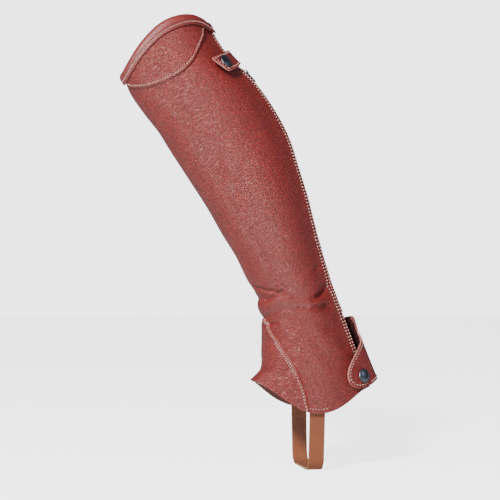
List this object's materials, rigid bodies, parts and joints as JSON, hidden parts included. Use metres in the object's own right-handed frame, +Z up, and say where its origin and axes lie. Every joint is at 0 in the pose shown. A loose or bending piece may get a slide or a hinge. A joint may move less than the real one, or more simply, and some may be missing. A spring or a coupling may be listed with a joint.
{
  "type": "half chap",
  "caption": "Knee-high leather half chap in its worn, hollow form, with an arched top, a back zip with a snap tab, a snapped heel flap and a strap under the foot.",
  "frame": {"origin": "inside the calf, on the leg's middle line about 110 mm below the top edge, where the wearer's leg holds the half chap", "axes": "+Z up, -X toward the toe, +X toward the heel, -Y toward the outer side of a left leg; the leg leans as in the picture, its top toward -X"},
  "size_m": [0.2788, 0.1193, 0.4742],
  "materials": {
    "leather": "semi-gloss, fine pebbled grain",
    "strap_leather": "matte, napped",
    "zip_tape": "matte woven",
    "zip_teeth": "satin",
    "dark_metal": "dark gunmetal, satin"
  },
  "bodies": {
    "chap": {"leg_panel": "leather", "vamp": "leather", "lens_panel": "leather", "top_band": "leather", "heel_flap": "leather", "snap_tab": "leather", "foot_strap": "strap_leather", "zip_tape_outer": "zip_tape", "zip_tape_inner": "zip_tape", "zip_chain": "zip_teeth", "zip_slider": "dark_metal", "heel_snap": "dark_metal", "tab_snap": "dark_metal"},
    "pull": {"zip_pull": "dark_metal"}
  },
  "joints": [
    {"name": "zip_pull_hinge", "type": "hinge", "parent": "chap", "child": "pull", "pos_m": [0.02002, -0.01369, 0.06592], "axis": [-0.0151, -0.9999, 0.0004], "range_deg": [0, 100]}
  ]
}
